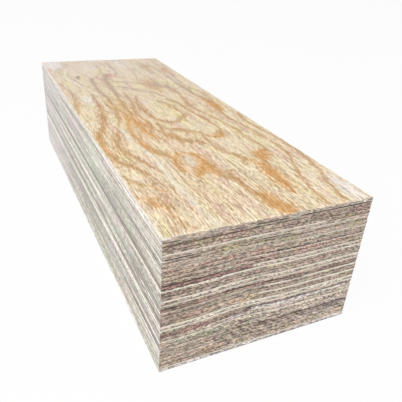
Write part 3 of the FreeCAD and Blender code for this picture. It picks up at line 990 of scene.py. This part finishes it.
# %% [markdown]
# ## Paint on the mesh
#
# All sheets share three materials. What makes a sheet its own is painted on its mesh: a tone, a
# seed that moves the noise, and the pale lines, stains and tints of its sawn edges.

# %% Paint each sheet's own values
SEED_STEP = 1.7
STRIP_SEED = 0.4
RIM_FADE = 1
STAIN_FADE = 6


def mesh_places(mesh):
    """Every vertex as an array, in metres."""
    co = np.empty(len(mesh.vertices) * 3, np.float32)
    mesh.vertices.foreach_get("co", co)
    return co.reshape(-1, 3).astype(float)


def in_millimetres(co):
    """Distances from the near end, the left side and the top face."""
    return (co[:, 0] - NEAR_END) / MM, (LEFT_SIDE - co[:, 1]) / MM, (TOP_FACE - co[:, 2]) / MM


def paint_values(mesh, values):
    for name, strength in values.items():
        layer = mesh.attributes.new(name, "FLOAT", "POINT")
        layer.data.foreach_set("value", np.asarray(strength, np.float32))


def paint_colours(mesh, name, colours):
    layer = mesh.attributes.new(name, "FLOAT_COLOR", "POINT")
    layer.data.foreach_set("color", colours.astype(np.float32).ravel())


def paint_constant(mesh, node):
    """Paints the sheet's tone and its seed."""
    layer = layer_number(node)
    tone = TONES[RIGHT_STRIP_TONES.get(node, STACK[layer - 1])]
    count = len(mesh.vertices)
    paint_colours(mesh, "tone", np.tile(tone, count))
    offset = STRIP_SEED if node.endswith("right_strip") else 0.0
    paint_values(mesh, {"seed": np.full(count, layer * SEED_STEP + offset)})


def fade_in(place, start, end, soft):
    """1 between start and end, with soft ramps inside them."""
    return np.clip(np.minimum(place - start, end - place) / soft, 0, 1)


def paint_sawn_edges(mesh, node):
    """Paints what shows on the sheet's sawn ends and sides."""
    layer = layer_number(node)
    along, across, depths = in_millimetres(mesh_places(mesh))
    on_end = np.stack([across, depths], axis=1)
    heights = np.empty(len(mesh.vertices), np.float32)
    mesh.attributes["height_in_sheet"].data.foreach_get("value", heights)
    # Pale rims along the sheets' edges: pale wood, with painted highlight on torn edges and the left
    # corner.
    rim_and_highlight = COMMON_RIM * own_share(layer, 5) * (1 - heights < RIM_SHARE)
    for sheet, edge, start, end, strength in PALE_RIMS_AND_HIGHLIGHTS:
        if sheet == layer:
            shown = fade_in(across, start - RIM_FADE, end + RIM_FADE, 2 * RIM_FADE)
            rim_and_highlight = np.maximum(rim_and_highlight, strength * (np.abs(heights - edge) < RIM_SHARE) * shown)
    stain = np.zeros(len(heights))
    for sheet, start, end, strength in SIDE_STAINS:
        if sheet == layer:
            shown = fade_in(along, start - STAIN_FADE, end + STAIN_FADE, STAIN_FADE)
            stain = np.maximum(stain, strength * shown)
    slanting = np.zeros(len(heights))
    strokes = np.zeros(len(heights))
    if layer in BURR_SHEETS:
        slanting = np.clip((across - BURR_START) / (BURR_FULL - BURR_START), 0, 1)
        strokes, _ = painted(BURR_STROKES, on_end)
    if layer > 1:
        paint_colours(mesh, "tint", tinted(END_TINTS, on_end))
    values = {"rim_and_highlight": rim_and_highlight, "slanting": slanting, "stain": stain, "strokes": strokes}
    values["side_shade"] = np.full(len(heights), SIDE_SHADES[SIDE_STACK[layer - 1]])
    paint_values(mesh, values)


print("shades on the sides:", sorted(set(SIDE_STACK)))

# %% [markdown]
# Towards its far end the face is paler and greyer, and single fibres show less sharply. The drawn
# bands are bent by a small smooth shift, because no growth ring has an even edge. The late wood is
# harder and stands a little proud of the rest.

# %% Paint the figure
PAINTED = ("late_wood", "ring_distance", "pale_wood_and_highlight", "knot", "warmth", "faded", "crisp")
FADE_START, FADE_FULL = 130, 250
CRISP_PLACES, CRISP_VALUES = (0, 50, 120, 215), (1.25, 1.15, 1.0, 0.45)
WOBBLE = 0.7
WOBBLE_SIZE = 4 * MM
LATE_WOOD_RELIEF = 0.07 * MM
CHIP_REACH = 1.2 * MM
CHIP_DEPTH = 0.5 * MM
CHIP_SIZE = 2.2 * MM
CHIP_SHIFT = Vector((0, 0, 3))


def figure_values(along):
    """What every sheet gets along its length: how faded it is, how crisp, and no figure."""
    values = {name: np.zeros(len(along)) for name in PAINTED}
    values["faded"] = np.clip((along - FADE_START) / (FADE_FULL - FADE_START), 0, 1)
    values["crisp"] = np.interp(along, CRISP_PLACES, CRISP_VALUES)
    return values


def drawing_places(co):
    """Places from the near end and the left side, bent a little so that no band is even."""
    along, across, _ = in_millimetres(co)
    turns = [noise.noise_vector(Vector(place) / WOBBLE_SIZE) for place in co]
    return np.stack([along, across], axis=1) + WOBBLE * np.array(turns)[:, :2]


def plain_figure(mesh, growth=()):
    """Paints a sheet that has no drawn figure, or only growth bands."""
    co = mesh_places(mesh)
    values = figure_values(in_millimetres(co)[0])
    if growth:
        values["late_wood"], values["ring_distance"] = painted(growth, drawing_places(co))
    paint_values(mesh, values)


def face_figure(mesh):
    """Paints the drawn figure, and sinks the early wood and the chips of the face veneer."""
    co = mesh_places(mesh)
    along = in_millimetres(co)[0]
    places = drawing_places(co)
    values = figure_values(along)
    values["late_wood"], values["ring_distance"] = painted(GROWTH_BANDS, places)
    values["pale_wood_and_highlight"], _ = painted(PALE_STREAKS_AND_HIGHLIGHTS, places)
    values["knot"], _ = painted(KNOTS, places)
    values["warmth"] = stained(WARM_ZONES, places)
    paint_values(mesh, values)
    paint_colours(mesh, "tint", tinted(FACE_TINTS, places))
    on_top = co[:, 2] > TOP_FACE - 0.1 * TOUCHING
    drop = LATE_WOOD_RELIEF * (1 - values["late_wood"])
    to_end = np.minimum(along, BEAM_LENGTH / MM - along) * MM
    chips = np.array([speckle(Vector(place) + CHIP_SHIFT, CHIP_SIZE) for place in co])
    chip = np.clip((chips - 0.55) * 4, 0, 1) * CHIP_DEPTH * (to_end < CHIP_REACH)
    co[:, 2] -= on_top * (drop + chip)
    mesh.vertices.foreach_set("co", co.astype(np.float32).ravel())
    mesh.update()


print("values painted for the figure:", PAINTED)

# %% [markdown]
# Now each sheet is built, painted and tied to the packed frame: it rides on the one body, gets the
# three finishes and replaces that node in the picture.

# %% Dress every sheet
SHEETS = {}
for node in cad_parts:
    mesh = build_sheet(node)
    paint_constant(mesh, node)
    paint_sawn_edges(mesh, node)
    if node == "face_veneer":
        face_figure(mesh)
    else:
        plain_figure(mesh, BACK_BANDS if node == "back_veneer" else ())
    for material in FINISHES:
        mesh.materials.append(material)
    sheet = bpy.data.objects.new(f"{node}_sawn", mesh)
    bpy.context.scene.collection.objects.link(sheet)
    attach(sheet, "root")
    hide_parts(node)
    SHEETS[node] = sheet
faces = sum(len(sheet.data.polygons) for sheet in SHEETS.values())
print("sheets dressed:", len(SHEETS), "faces:", faces)

# %% [markdown]
# ## Floor and light
#
# A plain pale sheet of paper. It turns nearly white for the camera alone, so it adds no light to
# the beam and keeps its soft shadow.

# %% Floor
FLOOR_SIZE = 12.0
FLOOR_ROUGHNESS = 0.9
FLOOR_GLOW = 0.94


def seen_by_camera(finish):
    """1 for rays that show the floor itself, 0 for those that only carry its light."""
    ways = ("Is Camera Ray", "Is Glossy Ray", "Is Transmission Ray")
    camera_ray, glossy_ray, through_ray = (
        finish.node("ShaderNodeLightPath", output=way) for way in ways
    )
    return camera_ray.at_least(glossy_ray).at_least(through_ray)


bm = bmesh.new()
bmesh.ops.create_grid(bm, x_segments=1, y_segments=1, size=FLOOR_SIZE / 2)
floor_mesh = bpy.data.meshes.new("floor")
bm.to_mesh(floor_mesh)
bm.free()
floor = bpy.data.objects.new("floor", floor_mesh)
bpy.context.scene.collection.objects.link(floor)
floor_finish = Finish("floor_paper", FLOOR_ROUGHNESS)
floor_finish.plug(floor_finish.shader.inputs["Base Color"], paint(240, 240, 240))
floor_finish.plug(floor_finish.shader.inputs["Roughness"], FLOOR_ROUGHNESS)
glow = floor_finish.node("ShaderNodeEmission", None, {"Color": (1, 1, 1, 1), "Strength": 1.0})
body = Wire(floor_finish, floor_finish.shader.outputs[0])
seen = seen_by_camera(floor_finish)
mixed = floor_finish.node("ShaderNodeMixShader", None, {0: seen * FLOOR_GLOW, 1: body, 2: glow})
surface = floor_finish.tree.nodes["Material Output"].inputs["Surface"]
floor_finish.plug(surface, mixed)
floor_mesh.materials.append(floor_finish.material)
print("floor:", FLOOR_SIZE, "m wide")

# %% [markdown]
# One wide lamp high on the left lights the top and the long side, and the sawn end stays a little
# darker, as in the photograph. The white world around fills the shadows.

# %% Lamp and world
KEY_PLACE = Vector((-0.62, 0.85, 1.15))
KEY_SIZE = 1.1
KEY_POWER = 17.2
WORLD_LIGHT = 0.5

key_data = bpy.data.lights.new("key", "AREA")
key_data.shape = "SQUARE"
key_data.size = KEY_SIZE
key_data.energy = KEY_POWER
key = bpy.data.objects.new("key", key_data)
bpy.context.scene.collection.objects.link(key)
key.location = KEY_PLACE
key.rotation_euler = (-KEY_PLACE).to_track_quat("-Z", "Y").to_euler()
world = bpy.data.worlds.new("studio")
world.use_nodes = True
bpy.context.scene.world = world
background = world.node_tree.nodes["Background"]
background.inputs["Color"].default_value = (1, 1, 1, 1)
background.inputs["Strength"].default_value = WORLD_LIGHT
print("key lamp at", [round(value, 2) for value in key.location])

# %% [markdown]
# ## Finish
